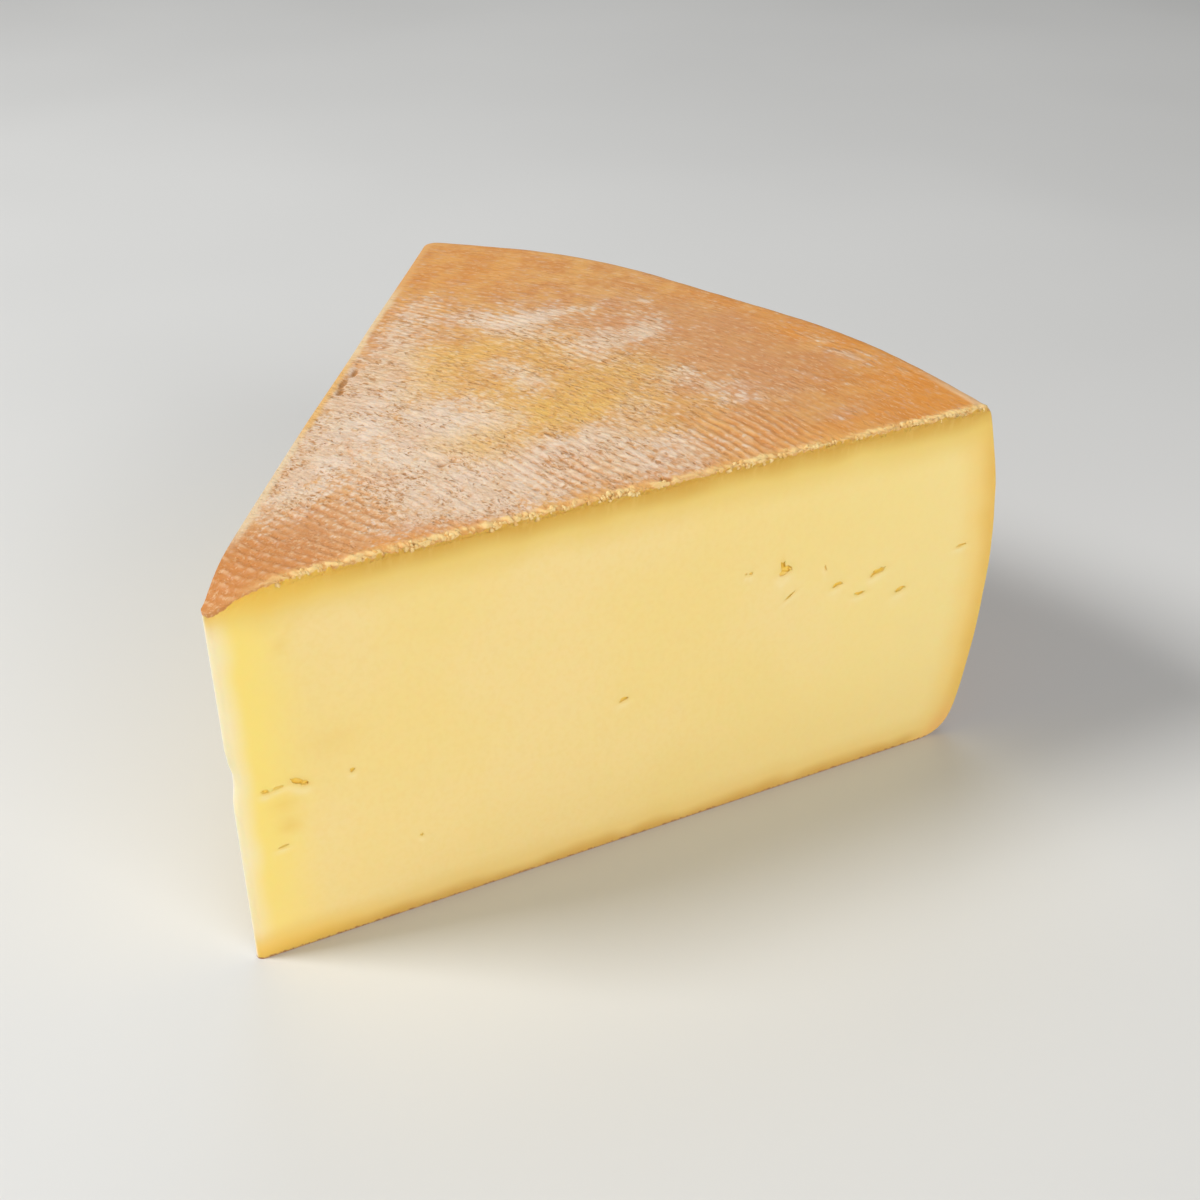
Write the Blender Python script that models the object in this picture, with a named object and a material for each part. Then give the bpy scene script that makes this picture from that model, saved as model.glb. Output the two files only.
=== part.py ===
"""A wedge of washed-rind raclette, cut from a round wheel and lying on its base.

Units are metres and +Z is up. The shape is worked out round the wheel's axis, which the
wedge's tip points at: the front cut lies in the plane Y = 0, and the back cut stands at
WEDGE_ANGLE to it. An empty on that axis then carries the wedge, so that the middle of its
base comes to the origin.
"""

import math
import random

import bmesh
import bpy
from mathutils import Vector, noise

# The wheel
WHEEL_HEIGHT = 0.0741
TOP_RADIUS = 0.144
WIDEST_RADIUS = 0.150
WIDEST_HEIGHT = 0.038
FOOT_RADIUS = 0.1455
SHOULDER_ROUNDING = 0.0026
HEEL_ROUNDING = 0.0065

# The wedge cut from it
WEDGE_ANGLE = math.radians(55.9)
TIP_ROUNDING = 0.0012
CUT_EDGE_ROUNDING = 0.0006

# The rim isn't a true circle: it swells a little, and more towards the back corner
RIM_WANDER = 0.006
RIM_SWELL = 0.047
WANDER_SPAN = (0.0, 0.25)
SWELL_SPAN = (0.42, 0.86)

# The top rind sags at the tip, rolls over in waves, and is ragged where the wire cut it
RIND_DEPTH = 0.016
TIP_DROOP = 0.0030
TIP_DROOP_REACH = 0.007
SAG = 0.0010
SAG_REACH = 0.030
WAVE_HEIGHT = 0.0004
WAVE_LENGTH = 0.030
LIP_RAGGED = 0.0007
LIP_WIDTH = 0.0015
LIP_LENGTH = 0.0040

# The dent across the tip, level with the seam of small eyes
DENT_HEIGHT = 0.0382
DENT_DEPTH = 0.0010
DENT_HALF = 0.0030
DENT_REACH = 0.0050

# The cut faces are very slightly hollow
FACE_HOLLOW = 0.0003
HOLLOW_LENGTH = 0.022
HOLLOW_MARGIN = 0.006

# Mesh spacing
SPIN_STEPS = 16
ACROSS = 0.0021
ALONG = 0.0060
UPRIGHT = 0.0062
SNAP = 0.0002

# The eyes of the front cut: distance from the axis, height, length, width and tilt in degrees
FRONT_EYES = (
    (0.1022, 0.0506, 0.0032, 0.0026, -80),
    (0.1035, 0.0500, 0.0026, 0.0014, -10),
    (0.1140, 0.0438, 0.0024, 0.0010, 11),
    (0.1233, 0.0443, 0.0030, 0.0011, 16),
    (0.1286, 0.0389, 0.0027, 0.0010, 15),
    (0.1194, 0.0409, 0.0027, 0.0008, 2),
    (0.1038, 0.0443, 0.0027, 0.0008, 33),
    (0.1112, 0.0481, 0.0020, 0.0006, -71),
    (0.0955, 0.0514, 0.0015, 0.0006, 5),
    (0.1421, 0.0449, 0.0024, 0.0007, 7),
    (0.0704, 0.0321, 0.0023, 0.0009, 9),
    (0.0114, 0.0350, 0.0030, 0.0013, -27),
    (0.0066, 0.0349, 0.0024, 0.0008, -4),
    (0.0205, 0.0341, 0.0012, 0.0009, 46),
    (0.0080, 0.0228, 0.0019, 0.0006, 7),
)
EYE_DEPTH = 0.7  # of an eye's length, to each side of the face

# The back cut isn't seen, and gets eyes of the same kind by a seeded draw
BACK_EYES = 12
BACK_EYE_RADII = (0.015, 0.138)
BACK_EYE_SEAM = 0.041
BACK_EYE_SPREAD = 0.007
BACK_EYE_LENGTHS = (0.0016, 0.0030)
BACK_EYE_SLIM = (0.30, 0.55)
SEED = 11

RIND_COLOUR = (0.56, 0.29, 0.11, 1.0)
PASTE_COLOUR = (0.82, 0.64, 0.25, 1.0)
RIND_SLOT = 0
PASTE_SLOT = 1


def ramp(value, low, high):
    """A smooth step from 0 at low to 1 at high."""
    share = min(1.0, max(0.0, (value - low) / (high - low)))
    return share * share * (3 - 2 * share)


def hump(distance, reach):
    """A soft bump: 1 at no distance, fading out over the reach."""
    return math.exp(-((distance / reach) ** 2))


def start_empty():
    """Clears the scene's objects."""
    for old in list(bpy.data.objects):
        bpy.data.objects.remove(old)


def new_collection(name):
    """A collection of that name in the scene."""
    made = bpy.data.collections.new(name)
    bpy.context.scene.collection.children.link(made)
    return made


def cheese_material(name, colour, roughness):
    """A Principled material of one colour."""
    material = bpy.data.materials.new(name)
    material.use_nodes = True
    shader = material.node_tree.nodes["Principled BSDF"]
    shader.inputs["Base Color"].default_value = colour
    shader.inputs["Roughness"].default_value = roughness
    shader.inputs["Metallic"].default_value = 0.0
    material.diffuse_color = colour
    return material


def rim_radius(height):
    """Radius of the wheel's side: widest near the middle, and drawn in at the top and the foot."""
    if height > WIDEST_HEIGHT:
        share = (height - WIDEST_HEIGHT) / (WHEEL_HEIGHT - WIDEST_HEIGHT)
        return WIDEST_RADIUS - (WIDEST_RADIUS - TOP_RADIUS) * share**2
    share = (WIDEST_HEIGHT - height) / WIDEST_HEIGHT
    return WIDEST_RADIUS - (WIDEST_RADIUS - FOOT_RADIUS) * share**2


def rounded_corner(start, corner, end, steps):
    """Points of a smooth curve from start to end that leans into the corner."""
    start, corner, end = Vector(start), Vector(corner), Vector(end)
    shares = [step / steps for step in range(steps + 1)]
    return [start * (1 - t) ** 2 + corner * 2 * t * (1 - t) + end * t**2 for t in shares]


def wheel_section():
    """The wheel's half-section as (radius, height): top centre, shoulder, side, heel, bottom centre."""
    side_top = WHEEL_HEIGHT - SHOULDER_ROUNDING
    side_steps = 9
    outline = [Vector((0.0, WHEEL_HEIGHT))]
    outline += rounded_corner(
        (TOP_RADIUS - SHOULDER_ROUNDING, WHEEL_HEIGHT),
        (TOP_RADIUS, WHEEL_HEIGHT),
        (rim_radius(side_top), side_top),
        steps=4,
    )
    for step in range(1, side_steps):
        height = side_top + (HEEL_ROUNDING - side_top) * step / side_steps
        outline.append(Vector((rim_radius(height), height)))
    outline += rounded_corner(
        (rim_radius(HEEL_ROUNDING), HEEL_ROUNDING),
        (FOOT_RADIUS, 0.0),
        (FOOT_RADIUS - HEEL_ROUNDING, 0.0),
        steps=5,
    )
    outline.append(Vector((0.0, 0.0)))
    return outline


def spin_wedge():
    """Spins the section through the wedge's angle and closes the two cuts."""
    bm = bmesh.new()
    chain = [bm.verts.new((point.x, 0.0, point.y)) for point in wheel_section()]
    edges = [bm.edges.new(pair) for pair in zip(chain, chain[1:])]
    bmesh.ops.spin(
        bm,
        geom=chain + edges,
        cent=(0, 0, 0),
        axis=(0, 0, 1),
        angle=WEDGE_ANGLE,
        steps=SPIN_STEPS,
    )
    bmesh.ops.remove_doubles(bm, verts=bm.verts, dist=1e-6)
    on_axis = [v for v in bm.verts if math.hypot(v.co.x, v.co.y) < 1e-6]
    axis_edge = bm.edges.new(on_axis)
    border = [e for e in bm.edges if e.is_boundary]
    for inside in (front_depth, back_depth):
        loop = [e for e in border if all(abs(inside(v.co)) < 1e-6 for v in e.verts)]
        made = bmesh.ops.contextual_create(bm, geom=loop + [axis_edge])
        for face in made["faces"]:
            face.material_index = PASTE_SLOT
    bmesh.ops.recalc_face_normals(bm, faces=bm.faces)
    return bm, axis_edge


def front_depth(point):
    """How far a point lies behind the front cut."""
    return point.y


def back_depth(point):
    """How far a point lies inside the back cut."""
    return point.x * math.sin(WEDGE_ANGLE) - point.y * math.cos(WEDGE_ANGLE)


def round_cut_edges(bm, axis_edge):
    """Rounds the tip, then breaks the edges where the cuts meet the rind."""
    bmesh.ops.bevel(
        bm,
        geom=[axis_edge],
        offset=TIP_ROUNDING / math.tan(WEDGE_ANGLE / 2),
        segments=4,
        profile=0.5,
        affect="EDGES",
        material=-1,
    )
    meets = [e for e in bm.edges if len({f.material_index for f in e.link_faces}) == 2]
    bmesh.ops.bevel(
        bm,
        geom=meets,
        offset=CUT_EDGE_ROUNDING,
        segments=2,
        profile=0.5,
        affect="EDGES",
        clamp_overlap=True,
        material=RIND_SLOT,
    )


def is_base(face):
    """Whether a face is part of the flat base."""
    return all(v.co.z < 1e-6 for v in face.verts)


def slice_by(bm, direction, spacing, reach, keep_out=None):
    """Cuts rows of edges across the wedge, square to a direction, and leaves the base whole."""
    for step in range(1, math.ceil(reach / spacing)):
        faces = [f for f in bm.faces if not is_base(f) and not (keep_out and keep_out(f))]
        edges = {e for f in faces for e in f.edges}
        verts = {v for f in faces for v in f.verts}
        bmesh.ops.bisect_plane(
            bm,
            geom=[*verts, *edges, *faces],
            dist=SNAP,
            plane_co=Vector(direction) * step * spacing,
            plane_no=direction,
        )


def add_rows(bm):
    """Gives the faces the rows of points that their relief needs."""
    slice_by(bm, (1, 0, 0), ACROSS, WIDEST_RADIUS, keep_out=lambda f: not near_top(f))
    slice_by(bm, (1, 0, 0), ACROSS * 3, WIDEST_RADIUS, keep_out=near_top)
    slice_by(bm, (0, 1, 0), ALONG, WIDEST_RADIUS)
    slice_by(bm, (0, 0, 1), UPRIGHT, WHEEL_HEIGHT)


def near_top(face):
    """Whether a face lies on the top or in the rounding at its edge."""
    return min(v.co.z for v in face.verts) > WHEEL_HEIGHT - SHOULDER_ROUNDING


def rim_growth(angle):
    """The share by which the wheel's outline is wider at an angle from the front cut."""
    share = angle / WEDGE_ANGLE
    return 1 + RIM_WANDER * ramp(share, *WANDER_SPAN) + RIM_SWELL * ramp(share, *SWELL_SPAN)


def sink_of_top(point):
    """How far the top rind lies below the wheel's height at a point."""
    radius = math.hypot(point.x, point.y)
    droop = TIP_DROOP * hump(radius, TIP_DROOP_REACH) + SAG * hump(radius, SAG_REACH)
    wave = noise.noise(Vector((point.x, point.y, 0.0)) / WAVE_LENGTH)
    return droop + WAVE_HEIGHT * (0.5 + wave)


def lip_sink(point):
    """How far the ragged lip is torn down, next to a cut and nowhere else."""
    depth = min(front_depth(point), back_depth(point))
    tear = 0.5 + 0.5 * noise.noise(Vector((point.x, point.y, 0.0)) / LIP_LENGTH)
    return LIP_RAGGED * tear * ramp(LIP_WIDTH - depth, 0.0, LIP_WIDTH)


def hollow_at(point, along):
    """How far a cut face lies inside its plane, away from the face's own edges."""
    height = point.z
    margins = (along - HOLLOW_MARGIN, height, WHEEL_HEIGHT - height, TOP_RADIUS - along)
    fade = ramp(min(margins), 0.0, HOLLOW_MARGIN)
    wave = 0.5 + 0.5 * noise.noise(Vector((along, height, 0.0)) / HOLLOW_LENGTH)
    return FACE_HOLLOW * wave * fade


def shape_relief(bm):
    """Moves the points from the true wedge to the uneven one."""
    middle = Vector((math.cos(WEDGE_ANGLE / 2), math.sin(WEDGE_ANGLE / 2), 0.0))
    inwards = Vector((math.sin(WEDGE_ANGLE), -math.cos(WEDGE_ANGLE), 0.0))
    for vert in bm.verts:
        point = vert.co.copy()
        radius = math.hypot(point.x, point.y)
        moved = point.copy()
        if abs(front_depth(point)) < SNAP:
            moved.y += hollow_at(point, radius)
        elif abs(back_depth(point)) < SNAP:
            moved += inwards * hollow_at(point, radius)
        growth = rim_growth(math.atan2(point.y, point.x))
        moved.x *= growth
        moved.y *= growth
        top_share = ramp(point.z, WHEEL_HEIGHT - RIND_DEPTH, WHEEL_HEIGHT)
        lip_share = ramp(point.z, WHEEL_HEIGHT - LIP_WIDTH, WHEEL_HEIGHT)
        moved.z -= top_share * sink_of_top(point) + lip_share * lip_sink(point)
        dent = hump(point.z - DENT_HEIGHT, DENT_HALF) * hump(radius, DENT_REACH)
        vert.co = moved + middle * DENT_DEPTH * dent


def wedge_mesh():
    """The uneven wedge as a mesh round the wheel's axis, without its eyes."""
    bm, axis_edge = spin_wedge()
    round_cut_edges(bm, axis_edge)
    add_rows(bm)
    bmesh.ops.triangulate(bm, faces=bm.faces)
    shape_relief(bm)
    mesh = bpy.data.meshes.new("raclette_wedge")
    bm.to_mesh(mesh)
    bm.free()
    mesh.shade_smooth()
    mesh.set_sharp_from_angle(angle=math.radians(40))
    return mesh


def eye_mesh():
    """A small round hole of unit length, stretched by each eye that uses it."""
    bm = bmesh.new()
    bmesh.ops.create_uvsphere(bm, u_segments=8, v_segments=6, radius=0.5)
    for face in bm.faces:
        face.material_index = PASTE_SLOT
    mesh = bpy.data.meshes.new("eye")
    bm.to_mesh(mesh)
    bm.free()
    return mesh


def add_eye(mesh, collection, carrier, place, turn, size):
    """One eye: radius and height on a cut face that stands at an angle, and its size and tilt."""
    radius, height = place
    face_angle, tilt = turn
    length, width = size
    eye = bpy.data.objects.new(f"eye_{len(collection.objects)}", mesh)
    growth = rim_growth(face_angle)
    eye.location = (
        radius * growth * math.cos(face_angle),
        radius * growth * math.sin(face_angle),
        height,
    )
    eye.rotation_mode = "YXZ"
    eye.rotation_euler = (0.0, -tilt, face_angle)
    eye.scale = (length, 2 * EYE_DEPTH * length, width)
    eye.parent = carrier
    eye.hide_render = True
    eye.display_type = "WIRE"
    collection.objects.link(eye)


def add_eyes(collection, carrier, materials):
    """The cutters for the eyes of both cut faces."""
    mesh = eye_mesh()
    for material in materials:
        mesh.materials.append(material)
    for radius, height, length, width, tilt in FRONT_EYES:
        turn = (0.0, math.radians(tilt))
        add_eye(mesh, collection, carrier, (radius, height), turn, (length, width))
    draw = random.Random(SEED)
    step = (BACK_EYE_RADII[1] - BACK_EYE_RADII[0]) / (BACK_EYES - 1)
    for count in range(BACK_EYES):
        radius = BACK_EYE_RADII[0] + step * (count + draw.uniform(-0.3, 0.3))
        height = BACK_EYE_SEAM + draw.uniform(-BACK_EYE_SPREAD, BACK_EYE_SPREAD)
        length = draw.uniform(*BACK_EYE_LENGTHS)
        turn = (WEDGE_ANGLE, math.radians(draw.uniform(-35, 35)))
        size = (length, length * draw.uniform(*BACK_EYE_SLIM))
        add_eye(mesh, collection, carrier, (radius, height), turn, size)


def add_axis(mesh):
    """An empty on the wheel's axis, set so that the middle of the wedge's base is at the origin."""
    axis = bpy.data.objects.new("wheel_axis", None)
    spans = [[vert.co[side] for vert in mesh.vertices] for side in range(2)]
    middle = [(min(span) + max(span)) / 2 for span in spans]
    axis.location = (-middle[0], -middle[1], 0.0)
    bpy.context.scene.collection.objects.link(axis)
    return axis


def main():
    start_empty()
    parts = new_collection("raclette_wedge")
    cutters = new_collection("eye_cutters")
    rind = cheese_material("washed_rind", RIND_COLOUR, 0.72)
    paste = cheese_material("cheese_paste", PASTE_COLOUR, 0.42)
    mesh = wedge_mesh()
    for material in (rind, paste):
        mesh.materials.append(material)
    axis = add_axis(mesh)
    wedge = bpy.data.objects.new("raclette_wedge", mesh)
    wedge.parent = axis
    parts.objects.link(wedge)
    add_eyes(cutters, axis, (rind, paste))
    eyes = wedge.modifiers.new("eyes", "BOOLEAN")
    eyes.operation = "DIFFERENCE"
    eyes.solver = "EXACT"
    eyes.operand_type = "COLLECTION"
    eyes.collection = cutters


main()
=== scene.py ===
# %% [markdown]
# # A wedge of washed-rind raclette
#
# A raclette wheel is washed with brine while it ripens. That grows an orange skin, the rind, which
# keeps the print of the board that the wheel lay on, and whitish bloom where it dried. A wedge cut
# from it shows two very different finishes: rough rind on top, on the rim and below, and smooth
# waxy paste on its two cut faces.
#
# The packed CAD model comes first. It says where the wedge is, and how large.

# %% Load the frame
import math
import random

import bmesh
import bpy
import numpy as np
from mathutils import Euler, Matrix, Vector, kdtree, noise


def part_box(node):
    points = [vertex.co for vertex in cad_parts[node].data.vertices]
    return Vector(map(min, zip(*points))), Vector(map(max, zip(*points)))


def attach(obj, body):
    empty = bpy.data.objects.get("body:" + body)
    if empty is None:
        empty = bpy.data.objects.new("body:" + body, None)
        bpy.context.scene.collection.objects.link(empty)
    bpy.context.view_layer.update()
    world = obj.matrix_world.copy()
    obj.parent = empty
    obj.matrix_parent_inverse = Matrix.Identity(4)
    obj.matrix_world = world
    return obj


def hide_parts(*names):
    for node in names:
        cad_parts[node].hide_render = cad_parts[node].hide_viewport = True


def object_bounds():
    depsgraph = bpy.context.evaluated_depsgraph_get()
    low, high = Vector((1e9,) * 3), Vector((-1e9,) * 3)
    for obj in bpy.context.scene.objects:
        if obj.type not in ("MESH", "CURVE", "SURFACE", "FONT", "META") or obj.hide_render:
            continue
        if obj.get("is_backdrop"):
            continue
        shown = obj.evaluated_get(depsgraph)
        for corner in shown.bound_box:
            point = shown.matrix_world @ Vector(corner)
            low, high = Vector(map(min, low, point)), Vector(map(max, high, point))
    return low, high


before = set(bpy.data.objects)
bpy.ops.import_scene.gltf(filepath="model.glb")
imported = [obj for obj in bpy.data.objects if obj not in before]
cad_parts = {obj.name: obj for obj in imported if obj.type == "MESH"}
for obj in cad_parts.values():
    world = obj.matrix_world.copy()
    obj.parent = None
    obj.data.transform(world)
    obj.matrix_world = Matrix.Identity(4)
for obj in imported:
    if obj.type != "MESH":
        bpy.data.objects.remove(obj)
cad_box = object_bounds()
low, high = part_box("raclette_wedge")
print("the CAD wedge is", [round(side * 1000, 1) for side in high - low], "mm")

# %% [markdown]
# # The wheel's sizes
#
# The shape is worked out round the wheel's axis, which the wedge's tip points at. There the
# front cut lies in the plane Y = 0, so a place on it is simply a distance from the tip and a
# height. At the very end, one move by `AXIS` takes everything to the frame.

# %% Sizes of the wheel and of the wedge
MM = 0.001
WHEEL_HEIGHT = 74.1 * MM
TOP_RADIUS = 144 * MM
WIDEST_RADIUS = 150 * MM
WIDEST_HEIGHT = 38 * MM
FOOT_RADIUS = 145.5 * MM
SHOULDER_ROUNDING = 2.6 * MM
HEEL_ROUNDING = 6.5 * MM
WEDGE_ANGLE = math.radians(55.9)
AXIS = Vector((high.x - WIDEST_RADIUS, low.y, low.z))


def rim_radius(height):
    """Radius of the wheel's side at a height: widest near the middle."""
    above = (height - WIDEST_HEIGHT) / (WHEEL_HEIGHT - WIDEST_HEIGHT)
    below = (WIDEST_HEIGHT - height) / WIDEST_HEIGHT
    drawn_in = np.where(
        above > 0,
        (WIDEST_RADIUS - TOP_RADIUS) * above**2,
        (WIDEST_RADIUS - FOOT_RADIUS) * below**2,
    )
    return WIDEST_RADIUS - drawn_in


levels = np.array([WHEEL_HEIGHT, WIDEST_HEIGHT, 0.0])
print("rim radius at the top, middle and foot:", rim_radius(levels))

# %% [markdown]
# # Helpers for uneven shapes
#
# Nothing on a cheese is straight for long. `ramp` is a smooth step, used to fade one shape into
# another, `hump` is a soft bump, and `hills` is random relief. All work on whole arrays of points
# at once, which is far quicker than asking for one point at a time. The random numbers come from
# the place itself, so every run gives the same cheese.


# %% Smooth steps and random hills
def ramp(value, low_end, high_end):
    """A smooth step from 0 at low_end to 1 at high_end."""
    share = np.clip((value - low_end) / (high_end - low_end), 0, 1)
    return share * share * (3 - 2 * share)


def hump(distance, reach):
    """A soft bump: 1 at no distance, fading out over the reach."""
    return np.exp(-((distance / reach) ** 2))


def hills(places, size, seed=0):
    """Random heights from about -1 to 1 that change smoothly over a distance of size."""
    places = np.asarray(places) / size
    cell = np.floor(places).astype(np.int64)
    inside = places - cell
    ease = inside**3 * (inside * (inside * 6 - 15) + 10)
    total = np.zeros(len(places))
    for corner in np.ndindex(2, 2, 2):
        mixed = (cell + corner) @ np.array([73856093, 19349663, 83492791]) + seed * 99991
        mixed = (mixed ^ (mixed >> 13)) * 1274126177 & 0x7FFFFFFF
        mixed = (mixed ^ (mixed >> 15)) * 461845907 & 0x7FFFFFFF
        slope = np.stack([(mixed >> shift & 255) / 127.5 - 1 for shift in (4, 12, 20)], axis=1)
        weight = np.prod(np.where(np.array(corner) == 1, ease, 1 - ease), axis=1)
        total += weight * ((inside - corner) * slope).sum(axis=1)
    return total * 1.6


def rough_hills(places, size, octaves, seed=0):
    """Hills with smaller hills on them."""
    return sum(hills(places, size / 2**k, seed + k) / 2**k for k in range(octaves))


# %% [markdown]
# # The wedge's mesh
#
# The rind on top has relief of half a millimetre, so it needs a fine mesh, while the cut faces are
# nearly flat. So a fine sheet is cut to the wedge's outline, one straight cut at a time. The rim
# is 28 short cuts, and the tip and the corners get a few each. The outline is then extruded down
# the wheel's profile. Each ring is scaled about the wheel's axis: that keeps the tip at the tip
# and the cuts in their planes, and moves only the rim in and out.

# %% The straight cuts that give the outline
RIM_CUTS = 28
TIP_ROUNDING = 1.2 * MM
FRONT_CORNER = 0.8 * MM
BACK_CORNER = 2.2 * MM
FRONT_FACES = -math.pi / 2
BACK_FACES = WEDGE_ANGLE + math.pi / 2
OUTLINE_RADIUS = TOP_RADIUS - SHOULDER_ROUNDING


def polar(radius, angle):
    """A point on the ground at a distance and direction from the wheel's axis."""
    return Vector((radius * math.cos(angle), radius * math.sin(angle), 0.0))


def rounding(centre, radius, first, last, cuts):
    """Cuts that round a corner, facing from the first direction to the last."""
    for step in range(1, cuts + 1):
        facing = first + (last - first) * step / (cuts + 1)
        yield centre + polar(radius, facing), polar(1.0, facing)


def outline_cuts():
    """Each cut as a point on it and the way it faces."""
    yield Vector((0, 0, 0)), polar(1.0, FRONT_FACES)
    yield Vector((0, 0, 0)), polar(1.0, BACK_FACES)
    for step in range(RIM_CUTS):
        angle = WEDGE_ANGLE * (step + 0.5) / RIM_CUTS
        yield polar(OUTLINE_RADIUS, angle), polar(1.0, angle)
    half = WEDGE_ANGLE / 2
    tip = polar(TIP_ROUNDING / math.sin(half), half)
    yield from rounding(tip, TIP_ROUNDING, FRONT_FACES, BACK_FACES - 2 * math.pi, cuts=7)
    along = math.sqrt((OUTLINE_RADIUS - FRONT_CORNER) ** 2 - FRONT_CORNER**2)
    corner = polar(along, 0.0) - polar(FRONT_CORNER, FRONT_FACES)
    yield from rounding(corner, FRONT_CORNER, FRONT_FACES, 0.0, cuts=3)
    along = math.sqrt((OUTLINE_RADIUS - BACK_CORNER) ** 2 - BACK_CORNER**2)
    corner = polar(along, WEDGE_ANGLE) - polar(BACK_CORNER, BACK_FACES)
    yield from rounding(corner, BACK_CORNER, WEDGE_ANGLE, BACK_FACES, cuts=4)


# %% The fine sheet, cut to the outline
ACROSS = 0.37 * MM
ALONG = 0.62 * MM
CLOSEST = 0.2 * MM


def top_sheet():
    """The wedge's top as a fine flat sheet."""
    bm = bmesh.new()
    length, width = TOP_RADIUS, TOP_RADIUS * math.sin(WEDGE_ANGLE)
    bmesh.ops.create_grid(
        bm,
        x_segments=round(length / ACROSS),
        y_segments=round(width / ALONG),
        size=0.5,
        matrix=Matrix.Translation((length / 2, width / 2, WHEEL_HEIGHT))
        @ Matrix.Diagonal((length, width, 1.0, 1.0)),
    )
    for point, facing in outline_cuts():
        geom = [*bm.verts, *bm.edges, *bm.faces]
        bmesh.ops.bisect_plane(
            bm, geom=geom, dist=1e-7, plane_co=point, plane_no=facing, clear_outer=True
        )
    border = [v for v in bm.verts if v.is_boundary]
    bmesh.ops.remove_doubles(bm, verts=border, dist=CLOSEST)
    return bm


# %% The rings of the wheel's profile
LEVEL_SPACING = 2.5 * MM


def curve_rings(start, corner, end, steps):
    """Rings (radius, height) along a smooth curve that leans into a corner."""
    for step in range(1, steps + 1):
        t = step / steps
        yield tuple(
            a * (1 - t) ** 2 + b * 2 * t * (1 - t) + c * t**2
            for a, b, c in zip(start, corner, end)
        )


def profile_rings():
    """The rings below the top sheet, as radius and height: shoulder, side and heel."""
    side_top, side_foot = WHEEL_HEIGHT - SHOULDER_ROUNDING, HEEL_ROUNDING
    shoulder_end = (float(rim_radius(side_top)), side_top)
    heel_start = (float(rim_radius(side_foot)), side_foot)
    yield from curve_rings(
        (OUTLINE_RADIUS, WHEEL_HEIGHT), (TOP_RADIUS, WHEEL_HEIGHT), shoulder_end, steps=7
    )
    steps = round((side_top - side_foot) / LEVEL_SPACING)
    for step in range(1, steps):
        height = side_top + (side_foot - side_top) * step / steps
        yield float(rim_radius(height)), height
    yield heel_start
    yield from curve_rings(
        heel_start, (FOOT_RADIUS, 0.0), (FOOT_RADIUS - HEEL_ROUNDING, 0.0), steps=7
    )


def extrude_down(bm):
    """Extrudes the sheet's outline down the profile, and closes the base."""
    edges = [e for e in bm.edges if e.is_boundary]
    last_radius, last_height = OUTLINE_RADIUS, WHEEL_HEIGHT
    for radius, height in profile_rings():
        made = bmesh.ops.extrude_edge_only(bm, edges=edges)["geom"]
        verts = [part for part in made if isinstance(part, bmesh.types.BMVert)]
        edges = [part for part in made if isinstance(part, bmesh.types.BMEdge)]
        edges = [e for e in edges if e.is_boundary]
        share = radius / last_radius
        bmesh.ops.scale(bm, vec=(share, share, 1.0), verts=verts)
        bmesh.ops.translate(bm, vec=(0.0, 0.0, height - last_height), verts=verts)
        last_radius, last_height = radius, height
    bmesh.ops.contextual_create(bm, geom=edges)
    bmesh.ops.recalc_face_normals(bm, faces=bm.faces)


sheet = top_sheet()
extrude_down(sheet)
print("the plain wedge has", len(sheet.faces), "faces")

# %% [markdown]
# # The eyes
#
# The small holes in the paste are called eyes. In raclette they are few, small and crooked:
# slits and nicks rather than round bubbles. They lie in a loose seam across the front cut, and
# the back cut, which the photo hides, gets a seam of its own by a seeded draw.

# %% Where the eyes are
FRONT_EYES = (
    # distance from the tip, height, length, width (all mm), and tilt in degrees
    (101.9, 51.1, 1.0, 2.6, 5), (102.5, 50.0, 2.6, 1.5, 10),
    (114.0, 43.8, 2.1, 0.9, 13), (123.3, 44.4, 2.8, 1.0, 14),
    (122.0, 43.9, 1.3, 0.7, 35), (128.6, 38.8, 2.6, 0.9, 15),
    (119.4, 40.6, 2.6, 0.6, 2), (103.8, 44.3, 2.7, 0.45, 33),
    (111.2, 48.2, 1.3, 0.25, -71), (95.2, 51.4, 0.8, 0.5, 15),
    (94.2, 51.5, 0.5, 0.4, 0), (142.0, 44.9, 2.2, 0.45, 5),
    (70.4, 32.1, 1.9, 0.7, 12), (11.6, 35.2, 2.6, 1.2, -30),
    (12.8, 34.4, 1.4, 0.9, -20), (6.2, 34.9, 1.4, 0.7, -10),
    (8.4, 35.0, 2.0, 0.4, 8), (20.7, 34.2, 1.0, 0.7, 46),
    (8.0, 22.8, 1.9, 0.35, 7), (31.6, 16.2, 0.7, 0.5, 10),
)
BACK_EYES = 15
BACK_EYE_RADII = (15, 138)
BACK_EYE_SEAM = 41
BACK_EYE_SPREAD = 8


def back_eyes(seed=11):
    """Eyes of the same kind for the back cut, by a seeded draw."""
    draw = random.Random(seed)
    for _ in range(BACK_EYES):
        length = draw.uniform(1.2, 3.0)
        yield (
            draw.uniform(*BACK_EYE_RADII),
            BACK_EYE_SEAM + draw.uniform(-BACK_EYE_SPREAD, BACK_EYE_SPREAD),
            length,
            length * draw.uniform(0.25, 0.45),
            draw.uniform(-40, 40),
        )


ALL_EYES = [(eye, 0.0) for eye in FRONT_EYES] + [(eye, WEDGE_ANGLE) for eye in back_eyes()]
print("there are", len(ALL_EYES), "eyes")

# %% [markdown]
# # Finer faces round the eyes
#
# The cut faces are built of tall narrow faces, and smooth shading would smudge the rim of an eye
# over the whole of one. So the tall faces near an eye are split first. A KD tree finds the
# nearest eye of each edge quickly.

# %% Split the tall faces near the eyes
EYE_RIM = 2.0 * MM
EYE_STRIPS = 4

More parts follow.
